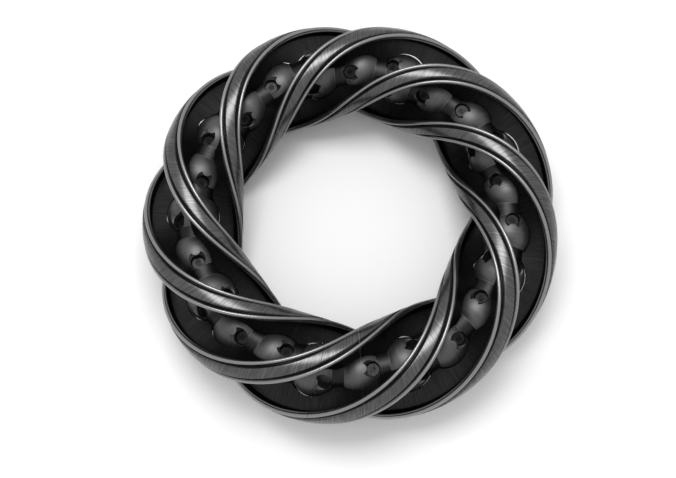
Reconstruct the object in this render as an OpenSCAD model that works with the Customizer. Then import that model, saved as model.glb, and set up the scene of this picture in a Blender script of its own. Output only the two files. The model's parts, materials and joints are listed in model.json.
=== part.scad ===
// Twisty snake puzzle: a chain of cast metal links that swivel on each other and curl up into a ring.
// Every link carries the same four T-shaped ribs, which wind round the core as the chain goes on.
// Origin: on the ring's axis, at the level of the surface that the ring lies on. +Z is up.

/* [Ring] */
// Radius of the circle that the swivels lie on
core_radius = 50; // [44:1:62]
// Links in the chain
link_count = 23; // [19:1:23]
// Direction, seen from above, of the seam where the tail meets the head
seam_angle = 254.35; // [0:0.05:360]
// Lean of the seam, which lets the tail lift away from the head
seam_lean = 7; // [6:0.5:9]

/* [Ribs] */
// Ribs round the core
rib_count = 4; // [4:1:4]
// Turns that the ribs make round the core in one lap of the ring, in quarters of a turn
rib_quarter_turns = 9; // [7:2:11]
// Direction, seen from above, where a rib crosses the top of the ring
crossing_angle = 13.45; // [0:0.05:40]
// Distance from the core to the crown of a rib
crown_radius = 15.84; // [14:0.02:17.5]
// Width of the flat crown band
crown_w = 3.6; // [2.6:0.1:4.4]
// Width of the whole rib cap
cap_w = 8.1; // [6.4:0.1:9.2]
// Thickness of the cap's lip
lip_t = 1.3; // [1:0.1:1.8]
// Drop from the crown to the edge of the lip
lip_drop = 1.3; // [0.9:0.1:1.6]
// Thickness of the web under the cap
web_t = 3; // [2:0.1:4]
// Thickness of the web at the core
web_root_t = 4.2; // [3:0.1:4.8]

/* [Core] */
// Radius of the ball that two links make between them
ball_radius = 7.4; // [6.4:0.1:8.2]
// Space round a ball in the round windows of the webs
window_gap = 0.7; // [0.3:0.1:1.5]
// Width of the web that neighbouring windows leave at the waist
web_neck = 1.9; // [1:0.1:3]
// Space between the faces of neighbouring links
face_gap = 0.08; // [0.04:0.01:0.2]
// Space between the head's face and the tail's face
seam_gap = 0.3; // [0.2:0.05:0.5]

/* [Swivels] */
// Radius of a swivel pin
pin_radius = 2.6; // [2.2:0.05:2.8]
// Running clearance round a pin
pin_clearance = 0.05; // [0.02:0.01:0.1]
// Length of a pin inside the link that turns on it
journal_length = 4.2; // [4:0.1:4.6]
// Length of a pin inside the link that clamps it
seat_length = 5.7; // [5.6:0.1:5.9]
// Space past each end of a pin
end_space = 0.15; // [0.1:0.05:0.3]
// Distance from a joint to the middle of the snap ring
ring_place = 3.2; // [2.9:0.1:3.4]
// Thickness of the snap ring
ring_t = 0.8; // [0.6:0.1:1]
// How far the snap ring stands out of the pin
ring_stand = 0.6; // [0.4:0.05:0.8]
// How deep the snap ring sits in the pin
ring_depth = 0.4; // [0.3:0.05:0.6]
// Space round the snap ring in its groove
ring_space = 0.1; // [0.05:0.05:0.2]

/* [Grub screws] */
// Radius of the screw holes
screw_hole_radius = 2.2; // [1.8:0.05:2.3]
// Space between a screw and its hole
screw_space = 0.04; // [0.02:0.01:0.1]
// Distance from a joint to the screws
screw_place = 3.4; // [3:0.1:3.5]
// Length of a screw
screw_length = 2.4; // [1.6:0.1:3]
// Hexagon socket of a screw, across its corners
socket_w = 2; // [1.4:0.1:2.2]
// Depth of the hexagon socket
socket_depth = 1; // [0.6:0.1:1.2]

/* [Hidden] */
pitch = 360 / link_count;
half_chord = core_radius * sin(pitch / 2);
rib_step = 360 / rib_count;
twist_rate = rib_quarter_turns / 4;
core_height = crown_radius;
window_radius = ball_radius + window_gap;
waist_radius = sqrt(pow(window_radius, 2) - pow(half_chord - web_neck / 2, 2));
sweep_steps = 4;
overrun = 0.5;
seam_overrun = 4;
slack = 1;
touch = 0.01;
big = 4 * crown_radius;
ring_groove_r = pin_radius + ring_stand + ring_space;
link_colour = [0.17, 0.17, 0.18];
pin_colour = [0.62, 0.63, 0.65];
screw_colour = [0.35, 0.35, 0.37];

function two_digits(n) = n < 10 ? str("0", n) : str(n);
function link_name(k) = str("link_", two_digits(k));
function swivel_name(k) = str("swivel_", two_digits(k));

// Direction of joint k seen from above. Joints 0 and link_count are the two sides of the seam.
function joint_angle(k) = seam_angle + pitch * k;

// How far a rib has turned round the core at a place on the ring.
function rib_turn(place) = 90 + twist_rate * (place - crossing_angle);

// One rib's outline: out along one side of the web, round the cap and back down the other side.
// X runs outwards from the core and Y across the rib.
root_x = sqrt(pow(waist_radius * 0.8, 2) - pow(web_root_t / 2, 2));
cap_edge_x = crown_radius - lip_drop;
rib_side = [
    [root_x, web_root_t / 2],
    [cap_edge_x - lip_t - 0.4, web_t / 2],
    [cap_edge_x - lip_t, cap_w / 2 - 0.4],
    [cap_edge_x, cap_w / 2],
    [sqrt(pow(crown_radius, 2) - pow(crown_w / 2, 2)), crown_w / 2]
];
side_points = len(rib_side);
rib_points = 2 * side_points;
section_points = rib_points * rib_count;

function rib_point(i) =
    i < side_points
        ? [rib_side[i][0], -rib_side[i][1]]
        : rib_side[rib_points - 1 - i];

// A point given out from and across the core, at a place on the ring, with the section turned.
function on_ring(p, turn, place) =
    let (
        out = p[0] * cos(turn) - p[1] * sin(turn),
        up = p[0] * sin(turn) + p[1] * cos(turn)
    )
    [(core_radius + out) * cos(place), (core_radius + out) * sin(place), core_height + up];

// The section of all ribs at a place on the ring.
function section(place) = [
    for (rib = [0 : rib_count - 1], i = [0 : rib_points - 1])
        on_ring(rib_point(i), rib_turn(place) + rib * rib_step, place)
];

// Triangles between two neighbouring sections of the sweep.
function skin(step) = [
    for (i = [0 : section_points - 1])
        let (
            a = step * section_points + i,
            b = step * section_points + (i + 1) % section_points
        )
        each [[a, b, b + section_points], [a, b + section_points, a + section_points]]
];

// Convex faces that close a section: the middle, then each rib's web and cap.
function middle_face(first) = [
    for (rib = [0 : rib_count - 1], i = [0, rib_points - 1]) first + rib * rib_points + i
];
function web_face(first, rib) = [
    for (i = [0, 1, rib_points - 2, rib_points - 1]) first + rib * rib_points + i
];
function cap_face(first, rib) = [
    for (i = [1 : rib_points - 2]) first + rib * rib_points + i
];
function end_faces(first) = [
    middle_face(first),
    for (rib = [0 : rib_count - 1]) each [web_face(first, rib), cap_face(first, rib)]
];
function reversed(list) = [for (i = [len(list) - 1 : -1 : 0]) list[i]];

// The four ribs swept along the ring between two places.
module ribs(from, to) {
    steps = round((to - from) / pitch * sweep_steps);
    polyhedron(
        points = [
            for (s = [0 : steps]) each section(from + (to - from) * s / steps)
        ],
        faces = concat(
            [for (f = end_faces(0)) reversed(f)],
            [for (s = [0 : steps - 1]) each skin(s)],
            end_faces(steps * section_points)
        ),
        convexity = 8
    );
}

// Moves children to a place on the ring: X outwards, Y along the ring, Z up.
module at_place(place) {
    rotate([0, 0, place])
        translate([core_radius, 0, core_height])
            children();
}

// Turns children from the Z axis to point along the ring.
module along_ring() {
    rotate([-90, 0, 0])
        children();
}

// Places children at the screws of joint k, with Z pointing out from the core, between the ribs.
module at_screws(k) {
    screw_angle = joint_angle(k) + atan(screw_place / core_radius);
    at_place(joint_angle(k))
        translate([0, screw_place, 0])
            for (rib = [0 : rib_count - 1])
                rotate([0, 90 - rib_turn(screw_angle) - (rib + 0.5) * rib_step, 0])
                    children();
}

// Everything on the far side of joint k, or on its near side, as a block to cut away.
// The two ends of the chain lean, so that they part as the chain uncurls.
module beyond_joint(k, side) {
    seam = k == 0 || k == link_count;
    gap = seam ? seam_gap : face_gap;
    at_place(joint_angle(k))
        rotate([seam ? -seam_lean : 0, 0, 0])
            translate([-big / 2, side > 0 ? -gap / 2 : gap / 2 - big, -big / 2])
                cube(big);
}

// The core of link k: two half balls and the waist between them.
module link_core(k) {
    at_place(joint_angle(k - 1))
        sphere(r = ball_radius, $fn = 64);
    at_place(joint_angle(k))
        sphere(r = ball_radius, $fn = 64);
    rotate([0, 0, joint_angle(k - 0.5)])
        translate([core_radius * cos(pitch / 2), -half_chord, core_height])
            along_ring()
                cylinder(h = 2 * half_chord, r = waist_radius, $fn = 64);
}

// The bore and the ring groove in which the pin of joint k turns.
module running_bore(k) {
    at_place(joint_angle(k))
        rotate([90, 0, 0]) {
            translate([0, 0, -slack])
                cylinder(
                    h = slack + journal_length + end_space,
                    r = pin_radius + pin_clearance,
                    $fn = 48
                );
            translate([0, 0, ring_place - ring_t / 2 - ring_space])
                cylinder(h = ring_t + 2 * ring_space, r = ring_groove_r, $fn = 48);
        }
}

// The bore that holds the pin of joint k still, and the holes for its screws.
module clamping_bore(k) {
    at_place(joint_angle(k))
        translate([0, -slack, 0])
            along_ring()
                cylinder(h = slack + seat_length + end_space, r = pin_radius + touch, $fn = 48);
    screw_holes(k);
}

// The four holes round the core beside joint k.
module screw_holes(k) {
    at_screws(k)
        cylinder(h = window_radius, r = screw_hole_radius, $fn = 32);
}

// Link k of the chain, which runs from joint k - 1 to joint k.
module link(k) {
    head = k == 1;
    tail = k == link_count;
    color(link_colour)
        difference() {
            union() {
                difference() {
                    ribs(
                        joint_angle(k - 1) - (head ? seam_overrun : overrun),
                        joint_angle(k) + (tail ? seam_overrun : overrun)
                    );
                    at_place(joint_angle(k - 1))
                        sphere(r = window_radius, $fn = 64);
                    at_place(joint_angle(k))
                        sphere(r = window_radius, $fn = 64);
                }
                link_core(k);
            }
            beyond_joint(k - 1, -1);
            beyond_joint(k, 1);
            if (!tail) running_bore(k);
            if (head) screw_holes(0);
            if (!head) clamping_bore(k - 1);
        }
}

// The turned pin of joint k, with a groove for its snap ring.
module swivel_pin(k) {
    at_place(joint_angle(k))
        difference() {
            translate([0, -journal_length, 0])
                along_ring()
                    cylinder(h = journal_length + seat_length, r = pin_radius, $fn = 48);
            translate([0, -ring_place - ring_t / 2 - ring_space / 2, 0])
                along_ring()
                    pipe(ring_t + ring_space, pin_radius + slack, pin_radius - ring_depth);
        }
}

// The snap ring that keeps the pin of joint k in the link that turns on it.
module snap_ring(k) {
    at_place(joint_angle(k))
        translate([0, -ring_place - ring_t / 2, 0])
            along_ring()
                pipe(ring_t, pin_radius + ring_stand, pin_radius - ring_depth + touch);
}

// A straight pipe on the Z axis.
module pipe(height, outer, inner) {
    difference() {
        cylinder(h = height, r = outer, $fn = 48);
        translate([0, 0, -slack])
            cylinder(h = height + 2 * slack, r = inner, $fn = 48);
    }
}

// One grub screw on the Z axis, with its foot on the pin.
module grub_screw() {
    translate([0, 0, pin_radius + touch])
        difference() {
            cylinder(h = screw_length, r = screw_hole_radius - screw_space, $fn = 32);
            translate([0, 0, screw_length - socket_depth])
                cylinder(h = socket_depth + slack, r = socket_w / 2, $fn = 6);
        }
}

// The swivel of joint k: its pin, its snap ring and the four screws that clamp it.
module swivel(k) {
    color(pin_colour) {
        swivel_pin(k);
        snap_ring(k);
    }
    color(screw_colour)
        at_screws(k)
            grub_screw();
}

for (k = [1 : link_count]) {
    link(k);
}
for (k = [1 : link_count - 1]) {
    swivel(k);
}
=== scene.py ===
"""Looks of the twisty snake puzzle: cast links, their swivels and a plain studio round them."""

import json
import logging
import math
from collections.abc import Sequence
from dataclasses import dataclass, field
from enum import Enum

import bmesh
import bpy
from mathutils import Matrix, Vector


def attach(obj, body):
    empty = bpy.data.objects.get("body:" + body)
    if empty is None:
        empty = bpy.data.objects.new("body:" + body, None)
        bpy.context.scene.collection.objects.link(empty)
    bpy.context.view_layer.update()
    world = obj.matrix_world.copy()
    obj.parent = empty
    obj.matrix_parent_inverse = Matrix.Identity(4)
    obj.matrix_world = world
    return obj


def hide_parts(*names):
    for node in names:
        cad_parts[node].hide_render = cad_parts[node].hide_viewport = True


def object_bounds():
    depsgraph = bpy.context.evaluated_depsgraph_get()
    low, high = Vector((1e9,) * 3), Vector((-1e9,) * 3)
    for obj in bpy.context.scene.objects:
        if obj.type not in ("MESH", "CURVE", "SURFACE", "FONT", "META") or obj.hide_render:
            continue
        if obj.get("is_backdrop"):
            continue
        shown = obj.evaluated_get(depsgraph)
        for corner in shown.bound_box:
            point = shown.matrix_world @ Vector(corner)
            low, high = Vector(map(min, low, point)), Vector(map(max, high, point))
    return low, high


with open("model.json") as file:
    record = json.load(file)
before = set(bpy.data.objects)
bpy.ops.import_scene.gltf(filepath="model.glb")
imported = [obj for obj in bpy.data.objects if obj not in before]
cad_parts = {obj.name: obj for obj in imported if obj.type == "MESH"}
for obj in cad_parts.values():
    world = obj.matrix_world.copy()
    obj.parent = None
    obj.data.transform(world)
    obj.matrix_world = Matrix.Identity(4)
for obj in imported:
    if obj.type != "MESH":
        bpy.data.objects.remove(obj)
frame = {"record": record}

LOG = logging.getLogger("twisty_snake")
MM = 0.001
RGB = tuple[float, float, float]
Point = tuple[float, float]


class Operation(Enum):
    """What a boolean does with its second shape."""

    ADD = "UNION"
    CUT = "DIFFERENCE"


class Part(Enum):
    """A part of a casting, by the index of its material."""

    RIBS = 0
    CORE = 1


class Mode(Enum):
    """A math node's operation."""

    ADD = "ADD"
    SUBTRACT = "SUBTRACT"
    MULTIPLY = "MULTIPLY"
    DIVIDE = "DIVIDE"
    ARCTAN = "ARCTAN2"
    ROOT = "SQRT"
    FRACTION = "FRACT"
    SINE = "SINE"
    COSINE = "COSINE"
    SIZE = "ABSOLUTE"


# ---------------------------------------------------------------- layout


@dataclass(frozen=True)
class RingLayout:
    """Where the joints lie and how the ribs wind, in metres and radians.

    Attributes:
        core_radius: Radius of the circle that the joints lie on.
        core_height: Height of that circle above the floor.
        first_joint: Direction of joint 1 seen from above.
        joint_count: Swivels in the chain.
        crossing: Direction where a rib crosses the top of the ring.
        twist_rate: Turns of a rib round the core for each lap of the ring.
        rib_count: Ribs round the core.
        seam_lean: Lean of the face where the tail meets the head.
    """

    core_radius: float
    core_height: float
    first_joint: float
    joint_count: int
    crossing: float = math.radians(13.45)
    twist_rate: float = 9 / 4
    rib_count: int = 4
    seam_lean: float = math.radians(7)

    @classmethod
    def from_record(cls, record: dict) -> "RingLayout":
        """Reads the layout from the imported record's joints.

        Args:
            record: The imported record.

        Returns:
            The layout.
        """
        joints = sorted(record["behaviour"]["joints"], key=lambda joint: joint["name"])
        x, y, z = joints[0]["pos_m"]
        return cls(math.hypot(x, y), z, math.atan2(y, x), len(joints))

    @property
    def link_count(self) -> int:
        """Links in the chain."""
        return self.joint_count + 1

    @property
    def pitch(self) -> float:
        """Angle between neighbouring joints, seen from above."""
        return 2 * math.pi / self.link_count

    def joint_angle(self, joint: float) -> float:
        """Direction of a joint seen from above; a half number is a link's middle."""
        return self.first_joint + self.pitch * (joint - 1)

    def rib_turn(self, place: float) -> float:
        """How far the first rib has turned round the core at a place on the ring."""
        return math.pi / 2 + self.twist_rate * (place - self.crossing)

    def at(self, place: float) -> Matrix:
        """Frame at a place on the ring: X outwards, Y along the ring, Z up."""
        out = Matrix.Translation((self.core_radius, 0, self.core_height))
        return Matrix.Rotation(place, 4, "Z") @ out

    def section(self, place: float) -> Matrix:
        """Frame of the ribs' section at a place: X out along the first rib, Y along the ring."""
        return self.at(place) @ Matrix.Rotation(-self.rib_turn(place), 4, "Y")


# ---------------------------------------------------------------- mesh helpers


def arc(centre: Point, radius: float, start: float, end: float, steps: int) -> list[Point]:
    """Points along an arc.

    Args:
        centre: Centre of the arc.
        radius: Radius of the arc.
        start: First angle in degrees, from X towards Y.
        end: Last angle in degrees.
        steps: Stretches between the first and last point.

    Returns:
        The points, both ends included.
    """
    angles = [math.radians(start + (end - start) * i / steps) for i in range(steps + 1)]
    return [(centre[0] + radius * math.cos(a), centre[1] + radius * math.sin(a)) for a in angles]


def finished(bm: bmesh.types.BMesh, name: str) -> bpy.types.Mesh:
    """Turns a bmesh into a mesh with its faces outwards.

    Args:
        bm: The bmesh, which is freed.
        name: Name of the mesh.

    Returns:
        The mesh.
    """
    bmesh.ops.recalc_face_normals(bm, faces=bm.faces)
    mesh = bpy.data.meshes.new(name)
    bm.to_mesh(mesh)
    bm.free()
    return mesh


def turned(outline: Sequence[Point], steps: int) -> bmesh.types.BMesh:
    """Spins an outline round the Z axis into a closed shape.

    Args:
        outline: (radius, height) points from one end of the axis to the other.
        steps: Faces round the axis.

    Returns:
        The bmesh.
    """
    bm = bmesh.new()
    verts = [bm.verts.new((r, 0, z)) for r, z in outline]
    edges = [bm.edges.new(pair) for pair in zip(verts, verts[1:])]
    bmesh.ops.spin(
        bm,
        geom=verts + edges,
        cent=(0, 0, 0),
        axis=(0, 0, 1),
        angle=2 * math.pi,
        steps=steps,
        use_merge=True,
    )
    bmesh.ops.remove_doubles(bm, verts=bm.verts, dist=1e-7)
    return bm


def combined(first: bpy.types.Mesh, second: bpy.types.Mesh, operation: Operation) -> bpy.types.Mesh:
    """Adds one closed mesh to another, or cuts it away.

    Args:
        first: The mesh that is kept or added to.
        second: The mesh that is added or cut away.
        operation: Which of the two.

    Returns:
        A new mesh with the materials of both faces kept by index.
    """
    holder = bpy.data.objects.new("first_shape", first)
    tool = bpy.data.objects.new("second_shape", second)
    for shape in (holder, tool):
        bpy.context.scene.collection.objects.link(shape)
    boolean = holder.modifiers.new("combine", "BOOLEAN")
    boolean.operation = operation.value
    boolean.solver = "MANIFOLD"
    boolean.object = tool
    bpy.context.view_layer.update()
    graph = bpy.context.evaluated_depsgraph_get()
    made = bpy.data.meshes.new_from_object(holder.evaluated_get(graph))
    for shape, mesh in ((holder, first), (tool, second)):
        bpy.data.objects.remove(shape)
        bpy.data.meshes.remove(mesh)
    return made


def dressed(mesh: bpy.types.Mesh, finishes: Sequence[bpy.types.Material], index: int = 0) -> bpy.types.Mesh:
    """Gives a mesh its materials and sets the one that all its faces use."""
    mesh.materials.clear()
    for finish in finishes:
        mesh.materials.append(finish)
    mesh.polygons.foreach_set("material_index", [index] * len(mesh.polygons))
    return mesh


def placed(mesh: bpy.types.Mesh, name: str, body: str, crease: float) -> bpy.types.Object:
    """Makes the object for a mesh that is already in place.

    Args:
        mesh: The mesh, in the row frame.
        name: Name of the piece.
        body: CAD body that it rides on.
        crease: Angle in radians past which an edge stays sharp.

    Returns:
        The object.
    """
    mesh.shade_smooth()
    mesh.set_sharp_from_angle(angle=crease)
    mesh.name = name
    piece = bpy.data.objects.new(name, mesh)
    bpy.context.scene.collection.objects.link(piece)
    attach(piece, body)
    return piece


# ---------------------------------------------------------------- finishes


class NodeBoard:
    """A material's or a node group's nodes, with short ways to add them."""

    def __init__(self, tree: bpy.types.NodeTree) -> None:
        """Starts on an empty tree."""
        self.tree = tree
        tree.nodes.clear()

    def add(self, kind: str, **settings: object) -> bpy.types.Node:
        """Adds a node of a kind and sets its properties."""
        node = self.tree.nodes.new(kind)
        for name, value in settings.items():
            setattr(node, name, value)
        return node

    def link(self, source: bpy.types.NodeSocket, target: bpy.types.NodeSocket) -> None:
        """Links two sockets."""
        self.tree.links.new(source, target)

    def math(self, mode: Mode, *values: "bpy.types.NodeSocket | float") -> bpy.types.NodeSocket:
        """Adds a math node on sockets or numbers and gives its output."""
        node = self.add("ShaderNodeMath", operation=mode.value)
        for socket, value in zip(node.inputs, values):
            if isinstance(value, bpy.types.NodeSocket):
                self.link(value, socket)
            else:
                socket.default_value = value
        return node.outputs[0]

    def length(self, first: bpy.types.NodeSocket, second: bpy.types.NodeSocket) -> bpy.types.NodeSocket:
        """Gives the length of the hypotenuse over two sides."""
        squares = [self.math(Mode.MULTIPLY, side, side) for side in (first, second)]
        return self.math(Mode.ROOT, self.math(Mode.ADD, *squares))

    def noise(self, vector: bpy.types.NodeSocket, scale: float, detail: float) -> bpy.types.NodeSocket:
        """Adds a noise texture and gives its value."""
        node = self.add("ShaderNodeTexNoise")
        node.inputs["Scale"].default_value = scale
        node.inputs["Detail"].default_value = detail
        self.link(vector, node.inputs["Vector"])
        return node.outputs[0]

    def ramp(
        self, value: bpy.types.NodeSocket, low: float, high: float, start: RGB, end: RGB
    ) -> bpy.types.NodeSocket:
        """Adds a colour ramp between two values and gives its colour."""
        node = self.add("ShaderNodeValToRGB")
        first, last = node.color_ramp.elements
        first.position, first.color = low, (*start, 1)
        last.position, last.color = high, (*end, 1)
        self.link(value, node.inputs[0])
        return node.outputs[0]

    def blend(
        self, share: float, first: bpy.types.NodeSocket, second: bpy.types.NodeSocket
    ) -> bpy.types.NodeSocket:
        """Adds a share of one value to the rest of another."""
        rest = self.math(Mode.MULTIPLY, second, 1 - share)
        return self.math(Mode.ADD, self.math(Mode.MULTIPLY, first, share), rest)

    def bump(self, height: bpy.types.NodeSocket, depth: float) -> bpy.types.NodeSocket:
        """Gives the normal of a surface that a value raises by up to depth metres."""
        node = self.add("ShaderNodeBump")
        node.inputs["Distance"].default_value = depth
        self.link(height, node.inputs["Height"])
        return node.outputs[0]

    def between(self, value: bpy.types.NodeSocket, low: float, high: float) -> bpy.types.NodeSocket:
        """Maps a value from 0..1 to low..high."""
        node = self.add("ShaderNodeMapRange")
        node.inputs["To Min"].default_value = low
        node.inputs["To Max"].default_value = high
        self.link(value, node.inputs["Value"])
        return node.outputs[0]

    def step(self, value: bpy.types.NodeSocket, none: float, full: float) -> bpy.types.NodeSocket:
        """Rises smoothly from 0 to 1 while a length goes from none to full, both in millimetres."""
        node = self.add("ShaderNodeMapRange", interpolation_type="SMOOTHSTEP")
        node.inputs["From Min"].default_value = none * MM
        node.inputs["From Max"].default_value = full * MM
        self.link(value, node.inputs["Value"])
        return node.outputs[0]

    def mix(
        self,
        share: bpy.types.NodeSocket,
        first: bpy.types.NodeSocket | RGB,
        second: bpy.types.NodeSocket | RGB,
    ) -> bpy.types.NodeSocket:
        """Mixes two colours, each a socket or a constant, and gives the result."""
        node = self.add("ShaderNodeMix", data_type="RGBA")
        self.link(share, node.inputs["Factor"])
        for socket, colour in ((node.inputs[6], first), (node.inputs[7], second)):
            if isinstance(colour, bpy.types.NodeSocket):
                self.link(colour, socket)
            else:
                socket.default_value = (*colour, 1)
        return node.outputs[2]


@dataclass(frozen=True)
class CapMarks:
    """Where the caps' roughness, their painted sheen, the painted ridge highlight and the painted groove
    shade change, each as the two places between which one fades to the next.

    Attributes:
        cap: Distance from the core, in millimetres, where web turns to cap.
        ridge: Distance from the rib's middle where the painted highlight of the ridge starts.
        groove_in: Distance from the rib's middle where the painted shade of the groove starts.
        groove_out: Distance from the rib's middle where it ends.
    """

    cap: Point = (13.3, 13.9)
    ridge: Point = (2.85, 3.15)
    groove_in: Point = (1.95, 2.2)
    groove_out: Point = (2.8, 2.6)


CAP_MARKS = CapMarks()


def ring_marks(layout: RingLayout) -> bpy.types.ShaderNodeTree:
    """Builds the node group for the brush marks on the metal and for the masks of its painted light and
    shade.

    The brush ran out from the core, so its strokes lie in planes through the ring's axis. The group also
    masks the caps for a painted sheen, the ridges along their edges for a painted highlight, and the
    grooves for painted shade.

    Args:
        layout: The ring's layout, which the strokes and the caps follow.

    Returns:
        A group with outputs for the strokes, the smudges, the caps, the ridges' painted highlight and the
        grooves' painted shade, all from 0 to 1.
    """
    group = bpy.data.node_groups.new("ring_marks", "ShaderNodeTree")
    for name, value in (("Stroke width", 0.00016), ("Stroke length", 0.006), ("Smudge size", 0.009)):
        socket = group.interface.new_socket(name, in_out="INPUT", socket_type="NodeSocketFloat")
        socket.default_value = value
    for name in ("Strokes", "Smudges", "Cap", "Ridge highlight", "Groove shade"):
        group.interface.new_socket(name, in_out="OUTPUT", socket_type="NodeSocketFloat")
    board = NodeBoard(group)
    given = board.add("NodeGroupInput")
    result = board.add("NodeGroupOutput")
    place = board.add("ShaderNodeTexCoord")
    split = board.add("ShaderNodeSeparateXYZ")
    board.link(place.outputs["Object"], split.inputs[0])
    x, y, z = split.outputs
    radius = board.length(x, y)
    out = board.math(Mode.SUBTRACT, radius, layout.core_radius)
    up = board.math(Mode.SUBTRACT, z, layout.core_height)
    depth = board.length(out, up)
    lap = board.math(Mode.ARCTAN, y, x)
    along = board.math(Mode.MULTIPLY, lap, layout.core_radius)
    strokes = board.add("ShaderNodeCombineXYZ")
    board.link(board.math(Mode.DIVIDE, along, given.outputs["Stroke width"]), strokes.inputs[0])
    board.link(board.math(Mode.DIVIDE, out, given.outputs["Stroke length"]), strokes.inputs[1])
    board.link(board.math(Mode.DIVIDE, up, given.outputs["Stroke length"]), strokes.inputs[2])
    board.link(board.noise(strokes.outputs[0], 1, 2), result.inputs["Strokes"])
    smudge = board.add("ShaderNodeVectorMath", operation="SCALE")
    board.link(place.outputs["Object"], smudge.inputs[0])
    board.link(board.math(Mode.DIVIDE, 1, given.outputs["Smudge size"]), smudge.inputs["Scale"])
    board.link(board.noise(smudge.outputs[0], 1, 4), result.inputs["Smudges"])
    # the angle from the nearest rib, as a share of the angle between two ribs
    turn = board.math(Mode.SUBTRACT, board.math(Mode.ARCTAN, up, out), math.pi / 2)
    twist = board.math(Mode.MULTIPLY, board.math(Mode.SUBTRACT, lap, layout.crossing), layout.twist_rate)
    step = 2 * math.pi / layout.rib_count
    share = board.math(Mode.DIVIDE, board.math(Mode.SUBTRACT, turn, twist), step)
    nearest = board.math(Mode.SUBTRACT, board.math(Mode.FRACTION, board.math(Mode.ADD, share, 0.5)), 0.5)
    angle = board.math(Mode.MULTIPLY, nearest, step)
    side = board.math(Mode.SIZE, board.math(Mode.MULTIPLY, depth, board.math(Mode.SINE, angle)))
    rise = board.math(Mode.MULTIPLY, depth, board.math(Mode.COSINE, angle))
    # the cap mask lightens the caps as painted sheen and also sets their roughness
    cap = board.step(rise, *CAP_MARKS.cap)
    board.link(cap, result.inputs["Cap"])
    # painted highlight along the ridges at the caps' edges
    ridge = board.math(Mode.MULTIPLY, board.step(side, *CAP_MARKS.ridge), cap)
    board.link(ridge, result.inputs["Ridge highlight"])
    # painted shade in the grooves between ridge and band
    starts = board.step(side, *CAP_MARKS.groove_in)
    groove = board.math(Mode.MULTIPLY, starts, board.step(side, *CAP_MARKS.groove_out))
    board.link(board.math(Mode.MULTIPLY, groove, cap), result.inputs["Groove shade"])
    return group


def metal(name: str) -> tuple[bpy.types.Material, NodeBoard, bpy.types.Node]:
    """Starts a metal material.

    Args:
        name: Name of the material.

    Returns:
        The material, the board that holds its nodes, and its shader.
    """
    made = bpy.data.materials.new(name)
    made.use_nodes = True
    board = NodeBoard(made.node_tree)
    output = board.add("ShaderNodeOutputMaterial")
    shader = board.add("ShaderNodeBsdfPrincipled")
    shader.inputs["Metallic"].default_value = 1
    board.link(shader.outputs[0], output.inputs["Surface"])
    return made, board, shader


@dataclass(frozen=True)
class MetalFinish:
    """A brushed or polished metal.

    Attributes:
        name: Name of the material.
        dark: Colour in the strokes' low places.
        light: Colour on the strokes' crests.
        smooth: Roughness of the best polished places.
        rough: Roughness of the dullest places.
        stroke_width: Width of a brush stroke in metres.
        stroke_depth: Depth of a brush stroke in metres.
        anisotropy: How far highlights stretch across the strokes.
    """

    name: str
    dark: RGB
    light: RGB
    smooth: float
    rough: float
    stroke_width: float
    stroke_depth: float
    anisotropy: float

    def material(self, marks: bpy.types.ShaderNodeTree) -> bpy.types.Material:
        """Builds the material.

        Args:
            marks: The group made by ring_marks.

        Returns:
            The material.
        """
        made, board, shader = metal(self.name)
        shader.inputs["Anisotropic"].default_value = self.anisotropy
        group = board.add("ShaderNodeGroup", node_tree=marks)
        group.inputs["Stroke width"].default_value = self.stroke_width
        strokes, smudges = group.outputs["Strokes"], group.outputs["Smudges"]
        board.link(board.ramp(strokes, 0.35, 0.7, self.dark, self.light), shader.inputs["Base Color"])
        dull = board.blend(0.45, strokes, smudges)
        board.link(board.between(dull, self.smooth, self.rough), shader.inputs["Roughness"])
        board.link(board.bump(strokes, self.stroke_depth), shader.inputs["Normal"])
        return made


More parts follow.
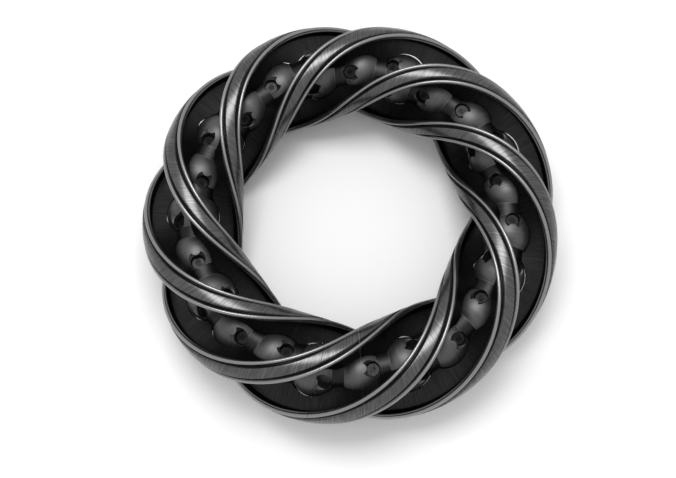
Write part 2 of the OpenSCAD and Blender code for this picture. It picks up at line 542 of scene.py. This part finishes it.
@dataclass(frozen=True)
class CastingFinish:
    """Blackened metal with brushed webs; the caps are lighter as painted sheen, with a painted highlight on
    their ridges and painted shade in their grooves.

    Attributes:
        name: Name of the material.
        web: Colour of the webs between strokes.
        web_stroke: Colour of the strokes on the webs.
        cap: Colour of the caps between strokes, lighter than the webs as painted sheen.
        cap_stroke: Colour of the strokes on the caps.
        ridge: Colour of the ridges, a painted highlight.
        groove: Colour of the grooves, darker as painted shade.
        web_rough: Roughness of the webs, least and most.
        cap_rough: Roughness of the caps, least and most.
        stroke_width: Width of a brush stroke in metres.
        stroke_depth: Depth of a brush stroke in metres.
    """

    name: str = "black_casting"
    web: RGB = (0.020, 0.020, 0.021)
    web_stroke: RGB = (0.036, 0.036, 0.037)
    # painted sheen: the caps are lighter than the webs
    cap: RGB = (0.07, 0.07, 0.072)
    cap_stroke: RGB = (0.15, 0.15, 0.152)
    # painted highlight on the ridges
    ridge: RGB = (0.27, 0.27, 0.273)
    # painted shade in the grooves
    groove: RGB = (0.015, 0.015, 0.016)
    web_rough: tuple[float, float] = (0.28, 0.5)
    cap_rough: tuple[float, float] = (0.2, 0.4)
    stroke_width: float = 0.00018
    stroke_depth: float = 0.000004

    def material(self, marks: bpy.types.ShaderNodeTree) -> bpy.types.Material:
        """Builds the material.

        Args:
            marks: The group made by ring_marks.

        Returns:
            The material.
        """
        made, board, shader = metal(self.name)
        group = board.add("ShaderNodeGroup", node_tree=marks)
        group.inputs["Stroke width"].default_value = self.stroke_width
        strokes, smudges = group.outputs["Strokes"], group.outputs["Smudges"]
        cap = group.outputs["Cap"]
        web_colour = board.ramp(strokes, 0.38, 0.72, self.web, self.web_stroke)
        cap_colour = board.ramp(strokes, 0.35, 0.7, self.cap, self.cap_stroke)
        # painted sheen: the caps get a lighter colour than the webs
        colour = board.mix(cap, web_colour, cap_colour)
        # painted highlight along the ridges
        colour = board.mix(group.outputs["Ridge highlight"], colour, self.ridge)
        # painted shade in the grooves
        colour = board.mix(group.outputs["Groove shade"], colour, self.groove)
        board.link(colour, shader.inputs["Base Color"])
        dull = board.blend(0.4, strokes, smudges)
        web_dull = board.between(dull, *self.web_rough)
        cap_dull = board.between(dull, *self.cap_rough)
        keep = board.math(Mode.MULTIPLY, board.math(Mode.SUBTRACT, 1, cap), web_dull)
        rough = board.math(Mode.ADD, keep, board.math(Mode.MULTIPLY, cap, cap_dull))
        board.link(rough, shader.inputs["Roughness"])
        board.link(board.bump(strokes, self.stroke_depth), shader.inputs["Normal"])
        return made


@dataclass(frozen=True)
class FloorFinish:
    """The plain pale floor."""

    name: str = "pale_floor"
    colour: RGB = (0.92, 0.92, 0.92)
    roughness: float = 0.6

    def material(self) -> bpy.types.Material:
        """Builds the material."""
        made = bpy.data.materials.new(self.name)
        made.use_nodes = True
        board = NodeBoard(made.node_tree)
        output = board.add("ShaderNodeOutputMaterial")
        shader = board.add("ShaderNodeBsdfPrincipled")
        shader.inputs["Base Color"].default_value = (*self.colour, 1)
        shader.inputs["Roughness"].default_value = self.roughness
        shader.inputs["Specular IOR Level"].default_value = 0.1
        board.link(shader.outputs[0], output.inputs["Surface"])
        return made


@dataclass(frozen=True)
class Finishes:
    """All materials of the puzzle."""

    casting: bpy.types.Material
    ball: bpy.types.Material
    pin: bpy.types.Material
    screw: bpy.types.Material

    @classmethod
    def build(cls, layout: RingLayout) -> "Finishes":
        """Builds every finish on one shared set of marks."""
        marks = ring_marks(layout)
        return cls(
            casting=CastingFinish().material(marks),
            ball=SATIN_BALL.material(marks),
            pin=TURNED_STEEL.material(marks),
            screw=BLUED_SCREW.material(marks),
        )


SATIN_BALL = MetalFinish(
    name="satin_ball",
    dark=(0.105, 0.105, 0.106),
    light=(0.125, 0.125, 0.127),
    smooth=0.42,
    rough=0.55,
    stroke_width=0.0006,
    stroke_depth=0.0000002,
    anisotropy=0.0,
)
TURNED_STEEL = MetalFinish(
    name="turned_steel",
    dark=(0.05, 0.05, 0.052),
    light=(0.10, 0.10, 0.105),
    smooth=0.18,
    rough=0.36,
    stroke_width=0.0001,
    stroke_depth=0.000003,
    anisotropy=0.5,
)
BLUED_SCREW = MetalFinish(
    name="blued_screw",
    dark=(0.015, 0.015, 0.016),
    light=(0.035, 0.035, 0.036),
    smooth=0.3,
    rough=0.5,
    stroke_width=0.0002,
    stroke_depth=0.000003,
    anisotropy=0.0,
)


# ---------------------------------------------------------------- links


@dataclass(frozen=True)
class RibShape:
    """The section of one rib in millimetres: X out from the core, Y across the rib.

    Attributes:
        crown: Distance from the core to the crown of the band.
        band_half: Half the width of the band along the middle of the cap.
        shoulder_r: Radius of the band's rounded edges.
        groove_floor: Distance from the core to the floor of the groove.
        groove_mid: Distance of the groove's middle from the rib's middle.
        ridge_centre: Centre of the round ridge along the cap's edge.
        ridge_r: Radius of that ridge.
        lip_under: Distance from the core to the underside of the lip.
        lip_r: Radius of the lip's lower edge.
        web_half: Half the web's thickness under the cap.
        web_root_half: Half the web's thickness at the core.
        root: Distance from the core where the web starts.
        fillet_r: Radius of the fillet between web and lip.
    """

    crown: float = 15.84
    band_half: float = 1.75
    shoulder_r: float = 0.28
    groove_floor: float = 14.78
    groove_mid: float = 2.42
    ridge_centre: Point = (14.38, 3.32)
    ridge_r: float = 0.73
    lip_under: float = 13.15
    lip_r: float = 0.35
    web_half: float = 1.5
    web_root_half: float = 2.1
    root: float = 3.6
    fillet_r: float = 0.7

    def side(self) -> list[Point]:
        """Points from the root of the web to the middle of the crown, on one side."""
        shoulder = (self.crown - 0.14 - self.shoulder_r, self.band_half - self.shoulder_r * 0.6)
        fillet = (self.lip_under - self.fillet_r, self.web_half + self.fillet_r)
        lip = (self.lip_under + self.lip_r, 3.3)
        return [
            (self.root, self.web_root_half),
            (6.0, self.web_root_half - 0.14),
            (8.5, self.web_root_half - 0.34),
            (11.0, self.web_half + 0.06),
            *arc(fillet, self.fillet_r, -90, 0, 5),
            *arc(lip, self.lip_r, 180, 95, 4),
            *arc(self.ridge_centre, self.ridge_r, 150, -25, 12),
            (self.groove_floor + 0.06, self.groove_mid + 0.2),
            (self.groove_floor, self.groove_mid),
            (self.groove_floor + 0.08, self.groove_mid - 0.2),
            *arc(shoulder, self.shoulder_r, 80, 12, 4),
            (self.crown - 0.07, self.band_half * 0.62),
            (self.crown - 0.02, self.band_half * 0.32),
            (self.crown, 0),
        ]

    def outline(self) -> list[Point]:
        """Points round the whole rib, from one root to the other."""
        side = self.side()
        return [(x, -y) for x, y in side] + side[-2::-1]


@dataclass
class CastLink:
    """One cast link: four lengths of rib, a waist and the half balls at its ends.

    Attributes:
        layout: The ring's layout.
        number: Which link, from 1 at the head of the chain.
        finishes: The puzzle's materials.
        rib: Section of the ribs.
        ball_r: Radius of the balls, in millimetres.
        ball_skin: How far outside a ball a face still counts as its own.
        window_r: Radius of the windows in the webs.
        waist_r: Radius of the waist.
        waist_fillet: Radius between waist and ball.
        face_gap: Space left between the faces of neighbouring links.
        seam_gap: Space left between head and tail.
        bore_r: Radius of the bores for the pins.
        groove_r: Radius of the groove for a snap ring.
        groove_from: Distance from the joint to the near side of that groove.
        groove_to: Distance from the joint to its far side.
        journal_end: Depth of the bore that turns on its pin.
        seat_end: Depth of the bore that clamps its pin.
        hole_r: Radius of the holes for the screws.
        hole_place: Distance of the screws from the joint.
        sink_r: Radius of the countersink round a hole.
        sweep_steps: Sections in the length of a link.
        overrun: How far the ribs are swept past the joints, in degrees.
        seam_overrun: The same at the leaning faces of head and tail.
    """

    layout: RingLayout
    number: int
    finishes: Finishes
    rib: RibShape = field(default_factory=RibShape)
    ball_r: float = 8.1
    ball_skin: float = 0.05
    window_r: float = 8.6
    waist_r: float = 6.5
    waist_fillet: float = 0.5
    face_gap: float = 0.03
    seam_gap: float = 0.1
    bore_r: float = 2.65
    groove_r: float = 3.3
    groove_from: float = 2.7
    groove_to: float = 3.7
    journal_end: float = 4.35
    seat_end: float = 5.85
    hole_r: float = 2.2
    hole_place: float = 3.4
    sink_r: float = 2.6
    sweep_steps: int = 18
    overrun: float = 0.5
    seam_overrun: float = 4.0

    @property
    def node(self) -> str:
        """Name of the CAD node and body."""
        return f"link_{self.number:02d}"

    @property
    def is_head(self) -> bool:
        """Is this the first link of the chain?"""
        return self.number == 1

    @property
    def is_tail(self) -> bool:
        """Is this the last link of the chain?"""
        return self.number == self.layout.link_count

    def ribs(self) -> bpy.types.Mesh:
        """Sweeps the ribs' section along the link, one small screw motion at a time."""
        before = math.radians(self.seam_overrun if self.is_head else self.overrun)
        past = math.radians(self.seam_overrun if self.is_tail else self.overrun)
        start = self.layout.joint_angle(self.number - 1) - before
        end = self.layout.joint_angle(self.number) + past
        bm = bmesh.new()
        first = self.layout.section(start)
        loop = []
        for rib in range(self.layout.rib_count):
            turn = Matrix.Rotation(-rib * 2 * math.pi / self.layout.rib_count, 4, "Y")
            for x, y in self.rib.outline():
                loop.append(bm.verts.new(first @ turn @ Vector((x * MM, 0, y * MM))))
        edges = [bm.edges.new((a, b)) for a, b in zip(loop, loop[1:] + loop[:1])]
        ends = [edges]
        for step in range(self.sweep_steps):
            here = start + (end - start) * step / self.sweep_steps
            there = start + (end - start) * (step + 1) / self.sweep_steps
            grown = bmesh.ops.extrude_edge_only(bm, edges=edges)["geom"]
            edges = [item for item in grown if isinstance(item, bmesh.types.BMEdge)]
            verts = [item for item in grown if isinstance(item, bmesh.types.BMVert)]
            motion = self.layout.section(there) @ self.layout.section(here).inverted()
            bmesh.ops.transform(bm, matrix=motion, verts=verts)
        ends.append(edges)
        for ring in ends:
            bmesh.ops.contextual_create(bm, geom=ring)
        return self.shape(bm, Part.RIBS)

    def shape(self, bm: bmesh.types.BMesh, part: "Part") -> bpy.types.Mesh:
        """Finishes a shape of the casting with the material of a part of it."""
        return dressed(finished(bm, part.name), [self.finishes.casting, self.finishes.ball], part.value)

    def at_joint(self, joint: int) -> Matrix:
        """Frame at a joint with Z along the ring."""
        here = self.layout.at(self.layout.joint_angle(joint))
        return here @ Matrix.Rotation(-math.pi / 2, 4, "X")

    def window(self, joint: int) -> bpy.types.Mesh:
        """The round window cut out of the webs about one joint."""
        bm = bmesh.new()
        bmesh.ops.create_uvsphere(bm, u_segments=96, v_segments=48, radius=self.window_r * MM)
        bmesh.ops.transform(bm, matrix=self.at_joint(joint), verts=bm.verts)
        return self.shape(bm, Part.RIBS)

    def core(self) -> bpy.types.Mesh:
        """The waist and the balls, turned about the line between the joints."""
        half = self.layout.core_radius / MM * math.sin(self.layout.pitch / 2)
        reach, rise = self.ball_r + self.waist_fillet, self.waist_r + self.waist_fillet
        lean = math.degrees(math.asin(rise / reach))
        fillet = (rise, math.sqrt(reach**2 - rise**2) - half)
        ball = [(r, z - half) for z, r in arc((0, 0), self.ball_r, 180, lean, 36)]
        upper = ball + arc(fillet, self.waist_fillet, 270 - lean, 180, 5)[1:]
        upper[0] = (0, upper[0][1])
        lower = [(r, -z) for r, z in reversed(upper)]
        bm = turned([(r * MM, z * MM) for r, z in upper + lower], 96)
        middle = self.layout.at(self.layout.joint_angle(self.number - 0.5))
        inwards = self.layout.core_radius * (1 - math.cos(self.layout.pitch / 2))
        along = Matrix.Translation((-inwards, 0, 0)) @ Matrix.Rotation(-math.pi / 2, 4, "X")
        bmesh.ops.transform(bm, matrix=middle @ along, verts=bm.verts)
        mesh = self.shape(bm, Part.CORE)
        # the waist is what lies outside both balls, and it is as black as the webs
        ends = [self.at_joint(joint).translation for joint in (self.number - 1, self.number)]
        for face in mesh.polygons:
            if min((face.center - end).length for end in ends) > (self.ball_r + self.ball_skin) * MM:
                face.material_index = Part.RIBS.value
        return mesh

    def bore(self, joint: int) -> bpy.types.Mesh:
        """The blind bore for the pin of one joint, with the groove for its snap ring."""
        bore, past = self.bore_r, 1.0
        outline = [(0, -past), (bore, -past), (bore, self.seat_end), (0, self.seat_end)]
        if joint == self.number:
            outline = [
                (0, -self.journal_end),
                (bore, -self.journal_end),
                (bore, -self.groove_to),
                (self.groove_r, -self.groove_to),
                (self.groove_r, -self.groove_from),
                (bore, -self.groove_from),
                (bore, past),
                (0, past),
            ]
        bm = turned([(r * MM, z * MM) for r, z in outline], 48)
        bmesh.ops.transform(bm, matrix=self.at_joint(joint), verts=bm.verts)
        return self.shape(bm, Part.CORE)

    def screw_hole(self, place: Matrix) -> bpy.types.Mesh:
        """One countersunk hole for a screw."""
        deep = self.bore_r - 0.05
        mouth = math.sqrt(self.ball_r**2 - self.hole_place**2) - 0.2
        flare = self.sink_r - self.hole_r
        outline = [
            (0, deep),
            (self.hole_r, deep),
            (self.hole_r, mouth - flare),
            (self.sink_r, mouth),
            (self.sink_r + 0.6, mouth + 0.8),
            (0, mouth + 0.8),
        ]
        bm = turned([(r * MM, z * MM) for r, z in outline], 40)
        bmesh.ops.transform(bm, matrix=place, verts=bm.verts)
        return self.shape(bm, Part.CORE)

    def beyond(self, joint: int, side: int) -> bpy.types.Mesh:
        """A block of everything past a joint, or before it.

        Args:
            joint: Which joint; the first and last are the two sides of the seam.
            side: 1 for what lies past the joint, -1 for what lies before it.

        Returns:
            The block, which leans at the seam.
        """
        seam = joint in (0, self.layout.link_count)
        size = 4 * self.rib.crown * MM
        gap = (self.seam_gap if seam else self.face_gap) * MM / 2
        lean = Matrix.Rotation(-self.layout.seam_lean if seam else 0, 4, "X")
        shift = Matrix.Translation((0, side * (size / 2 - gap), 0))
        bm = bmesh.new()
        bmesh.ops.create_cube(bm, size=size)
        here = self.layout.at(self.layout.joint_angle(joint))
        bmesh.ops.transform(bm, matrix=here @ lean @ shift, verts=bm.verts)
        return self.shape(bm, Part.CORE)

    def build(self) -> bpy.types.Object:
        """Makes the link and stands it in for its CAD node."""
        mesh = self.ribs()
        near, far = self.number - 1, self.number
        for joint in (near, far):
            mesh = combined(mesh, self.window(joint), Operation.CUT)
        mesh = combined(mesh, self.core(), Operation.ADD)
        cuts = [self.beyond(near, -1), self.beyond(far, 1)]
        if not self.is_head:
            cuts.append(self.bore(near))
        if not self.is_tail:
            cuts.append(self.bore(far))
        cuts += [self.screw_hole(place) for place in screw_frames(self.layout, near, self.hole_place)]
        for cut in cuts:
            mesh = combined(mesh, cut, Operation.CUT)
        piece = placed(mesh, f"cast_{self.node}", self.node, math.radians(32))
        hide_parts(self.node)
        return piece


def screw_frames(layout: RingLayout, joint: int, distance: float) -> list[Matrix]:
    """Frames of the four screws beside a joint, with Z out from the core between two ribs.

    Args:
        layout: The ring's layout.
        joint: Which joint.
        distance: How far past the joint the screws are, in millimetres.

    Returns:
        One frame for each screw.
    """
    here = layout.at(layout.joint_angle(joint)) @ Matrix.Translation((0, distance * MM, 0))
    turn = layout.rib_turn(layout.joint_angle(joint) + math.atan(distance * MM / layout.core_radius))
    step = 2 * math.pi / layout.rib_count
    return [
        here @ Matrix.Rotation(math.pi / 2 - turn - (rib + 0.5) * step, 4, "Y")
        for rib in range(layout.rib_count)
    ]


# ---------------------------------------------------------------- swivels


@dataclass
class Swivel:
    """The turned pin of one joint, its snap ring and the screws that clamp it.

    Attributes:
        layout: The ring's layout.
        number: Which joint.
        finishes: The puzzle's materials.
        pin_r: Radius of the pin, in millimetres.
        journal: Length inside the link that turns on the pin.
        seat: Length inside the link that clamps it.
        chamfer: Chamfer at the pin's ends.
        ring_place: Distance of the snap ring from the joint.
        ring_t: Thickness of the snap ring.
        ring_stand: How far the ring stands out of the pin.
        ring_depth: How deep the ring sits.
        ring_gap: Gap in the ring, in degrees.
        screw_r: Radius of a screw.
        screw_length: Length of a screw.
        screw_place: Distance of the screws from the joint.
        socket_r: Radius of the hexagon socket, to its corners.
        socket_depth: Depth of that socket.
    """

    layout: RingLayout
    number: int
    finishes: Finishes
    pin_r: float = 2.6
    journal: float = 4.2
    seat: float = 5.7
    chamfer: float = 0.3
    ring_place: float = 3.2
    ring_t: float = 0.8
    ring_stand: float = 0.6
    ring_depth: float = 0.4
    ring_gap: float = 30
    screw_r: float = 2.16
    screw_length: float = 2.4
    screw_place: float = 3.4
    socket_r: float = 1.0
    socket_depth: float = 1.0

    @property
    def node(self) -> str:
        """Name of the CAD node."""
        return f"swivel_{self.number:02d}"

    @property
    def body(self) -> str:
        """CAD body that clamps the pin."""
        return f"link_{self.number + 1:02d}"

    def along_joint(self) -> Matrix:
        """Frame at the joint with Z along the pin."""
        here = self.layout.at(self.layout.joint_angle(self.number))
        return here @ Matrix.Rotation(-math.pi / 2, 4, "X")

    def pin(self) -> bpy.types.Object:
        """The pin, with its chamfers and the groove of its snap ring."""
        low, high = -self.journal, self.seat
        groove = self.pin_r - self.ring_depth
        ring_low = -self.ring_place - self.ring_t / 2 - 0.05
        ring_high = ring_low + self.ring_t + 0.1
        outline = [
            (0, low),
            (self.pin_r - self.chamfer, low),
            (self.pin_r, low + self.chamfer),
            (self.pin_r, ring_low),
            (groove, ring_low),
            (groove, ring_high),
            (self.pin_r, ring_high),
            (self.pin_r, high - self.chamfer),
            (self.pin_r - self.chamfer, high),
            (0, high),
        ]
        bm = turned([(r * MM, z * MM) for r, z in outline], 64)
        bmesh.ops.transform(bm, matrix=self.along_joint(), verts=bm.verts)
        mesh = dressed(finished(bm, "pin"), [self.finishes.pin])
        return placed(mesh, f"swivel_pin_{self.number:02d}", self.body, math.radians(30))

    def snap_ring(self) -> bpy.types.Object:
        """The open ring of flat wire."""
        inner, outer = self.pin_r - self.ring_depth + 0.02, self.pin_r + self.ring_stand
        bm = bmesh.new()
        middle = -self.ring_place
        corners = [
            (inner, middle - self.ring_t / 2),
            (outer, middle - self.ring_t / 2),
            (outer, middle + self.ring_t / 2),
            (inner, middle + self.ring_t / 2),
        ]
        section = bm.faces.new([bm.verts.new((r * MM, 0, z * MM)) for r, z in corners])
        spun = bmesh.ops.spin(
            bm,
            geom=[section],
            cent=(0, 0, 0),
            axis=(0, 0, 1),
            angle=math.radians(360 - self.ring_gap),
            steps=44,
            use_merge=False,
        )
        del spun
        bmesh.ops.bevel(
            bm,
            geom=[edge for edge in bm.edges if edge.calc_face_angle(0) > 1],
            affect="EDGES",
            offset=0.08 * MM,
            segments=2,
            profile=0.5,
            material=-1,
        )
        bmesh.ops.transform(bm, matrix=self.along_joint(), verts=bm.verts)
        mesh = dressed(finished(bm, "snap_ring"), [self.finishes.pin])
        return placed(mesh, f"snap_ring_{self.number:02d}", self.body, math.radians(30))

    def screw(self) -> bmesh.types.BMesh:
        """One grub screw on the Z axis, with a chamfered head and a hexagon socket."""
        bm = bmesh.new()
        foot = self.pin_r + 0.02
        made = bmesh.ops.create_circle(bm, cap_ends=True, segments=36, radius=self.screw_r * MM)
        bmesh.ops.translate(bm, vec=(0, 0, foot * MM), verts=made["verts"])
        top = bm.faces[:][0]
        chamfer = 0.25
        for rise, inset in ((self.screw_length - chamfer, 0), (chamfer, chamfer)):
            top = self.raised(bm, top, rise, 1 - inset / self.screw_r)
        bmesh.ops.delete(bm, geom=[top], context="FACES_ONLY")
        head = foot + self.screw_length
        rim = [edge for edge in bm.edges if edge.is_boundary and edge.verts[0].co.z > (head - 0.01) * MM]
        hexagon = bmesh.ops.create_circle(bm, cap_ends=False, segments=6, radius=self.socket_r * MM)
        bmesh.ops.translate(bm, vec=(0, 0, head * MM), verts=hexagon["verts"])
        socket_edges = list({edge for vert in hexagon["verts"] for edge in vert.link_edges})
        bmesh.ops.bridge_loops(bm, edges=rim + socket_edges)
        grown = bmesh.ops.extrude_edge_only(bm, edges=socket_edges)["geom"]
        bmesh.ops.translate(
            bm,
            vec=(0, 0, -self.socket_depth * MM),
            verts=[item for item in grown if isinstance(item, bmesh.types.BMVert)],
        )
        bmesh.ops.contextual_create(bm, geom=[item for item in grown if isinstance(item, bmesh.types.BMEdge)])
        return bm

    @staticmethod
    def raised(
        bm: bmesh.types.BMesh, face: bmesh.types.BMFace, rise: float, scale: float
    ) -> bmesh.types.BMFace:
        """Extrudes a face up the Z axis and scales it.

        Args:
            bm: The bmesh.
            face: The face that is extruded.
            rise: How far up, in millimetres.
            scale: What its size is multiplied by.

        Returns:
            The new top face.
        """
        grown = bmesh.ops.extrude_face_region(bm, geom=[face])["geom"]
        verts = [item for item in grown if isinstance(item, bmesh.types.BMVert)]
        bmesh.ops.translate(bm, vec=(0, 0, rise * MM), verts=verts)
        bmesh.ops.scale(bm, vec=(scale, scale, 1), verts=verts)
        return next(item for item in grown if isinstance(item, bmesh.types.BMFace))

    def screws(self) -> bpy.types.Object:
        """The four screws of the joint."""
        whole = bmesh.new()
        for matrix in screw_frames(self.layout, self.number, self.screw_place):
            one = self.screw()
            bmesh.ops.transform(one, matrix=matrix, verts=one.verts)
            part = finished(one, "screw")
            whole.from_mesh(part)
            bpy.data.meshes.remove(part)
        mesh = dressed(finished(whole, "screws"), [self.finishes.screw])
        return placed(mesh, f"grub_screws_{self.number:02d}", self.body, math.radians(30))

    def build(self) -> list[bpy.types.Object]:
        """Makes the pieces and stands them in for the swivel's CAD node."""
        pin = self.pin()
        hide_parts(self.node)
        return [pin, self.snap_ring(), self.screws()]


# ---------------------------------------------------------------- studio


@dataclass(frozen=True)
class Studio:
    """Floor, lights and camera.

    Attributes:
        tilt: Angle of the view from straight down, in degrees.
        roll: Turn of the camera about its view, in degrees.
        distance: Distance from the camera to the middle of the ring, in core radii.
        scale: Picture widths that one core radius takes at that distance.
        off_x: How far right of the picture's middle the ring sits, in picture widths.
        off_y: How far above the picture's middle the ring sits, in picture widths.
        floor_size: Width of the floor in metres.
        sky: Strength of the even light from all round.
    """

    tilt: float = 17.18
    roll: float = 4.03
    distance: float = 6.56
    scale: float = 0.233358
    off_x: float = 0.018669
    off_y: float = 0.034541
    floor_size: float = 6.0
    sky: float = 0.85

    def camera(self, layout: RingLayout) -> None:
        """Makes the camera and makes it the scene's."""
        data = bpy.data.cameras.new("camera")
        data.sensor_width = 36
        data.lens = self.scale * self.distance * data.sensor_width
        data.shift_x = -self.off_x
        data.shift_y = -self.off_y
        data.clip_start, data.clip_end = 0.01, 50
        camera = bpy.data.objects.new("camera", data)
        bpy.context.scene.collection.objects.link(camera)
        look = Matrix.Rotation(math.radians(self.tilt), 4, "X")
        look = look @ Matrix.Rotation(-math.radians(self.roll), 4, "Z")
        middle = Matrix.Translation((0, 0, layout.core_height))
        back = Matrix.Translation((0, 0, self.distance * layout.core_radius))
        camera.matrix_world = middle @ look @ back
        bpy.context.scene.camera = camera

    def lamp(self, name: str, place: Vector, size: Point, power: float, aim: Vector) -> None:
        """Adds one rectangular soft lamp.

        Args:
            name: Name of the lamp.
            place: Where it is.
            size: Its two sides in metres.
            power: Its power in watts.
            aim: The point that it faces.
        """
        data = bpy.data.lights.new(name, "AREA")
        data.shape = "RECTANGLE"
        data.size, data.size_y = size
        data.energy = power
        lamp = bpy.data.objects.new(name, data)
        bpy.context.scene.collection.objects.link(lamp)
        lamp.location = place
        lamp.rotation_euler = (aim - place).to_track_quat("-Z", "Y").to_euler()

    def lights(self, layout: RingLayout) -> None:
        """Lights the ring from above and a little behind."""
        world = bpy.data.worlds.new("studio")
        world.use_nodes = True
        sky = world.node_tree.nodes["Background"]
        sky.inputs["Color"].default_value = (1, 1, 1, 1)
        sky.inputs["Strength"].default_value = self.sky
        bpy.context.scene.world = world
        middle = Vector((0, 0, layout.core_height))
        self.lamp("top_lamp", Vector((-0.02, 0.14, 0.55)), (0.3, 0.22), 1.6, middle)

    def floor(self) -> None:
        """Makes the floor under the ring."""
        bm = bmesh.new()
        bmesh.ops.create_grid(bm, x_segments=1, y_segments=1, size=self.floor_size / 2)
        bmesh.ops.translate(bm, vec=(0, 0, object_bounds()[0].z), verts=bm.verts)
        mesh = dressed(finished(bm, "floor"), [FloorFinish().material()])
        floor = bpy.data.objects.new("floor", mesh)
        bpy.context.scene.collection.objects.link(floor)
        floor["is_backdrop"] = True

    def build(self, layout: RingLayout) -> None:
        """Makes the whole studio."""
        self.camera(layout)
        self.lights(layout)
        self.floor()
        bpy.context.scene.view_settings.view_transform = "Standard"


# ---------------------------------------------------------------- main


def main() -> None:
    """Builds every piece and the studio."""
    logging.basicConfig(level=logging.INFO, format="%(message)s")
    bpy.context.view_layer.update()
    layout = RingLayout.from_record(frame["record"])
    finishes = Finishes.build(layout)
    for number in range(1, layout.link_count + 1):
        piece = CastLink(layout, number, finishes).build()
        LOG.info("%s: %d faces", piece.name, len(piece.data.polygons))
    for number in range(1, layout.joint_count + 1):
        for piece in Swivel(layout, number, finishes).build():
            LOG.info("%s: %d faces", piece.name, len(piece.data.polygons))
    Studio().build(layout)


if __name__ == "__main__":
    main()
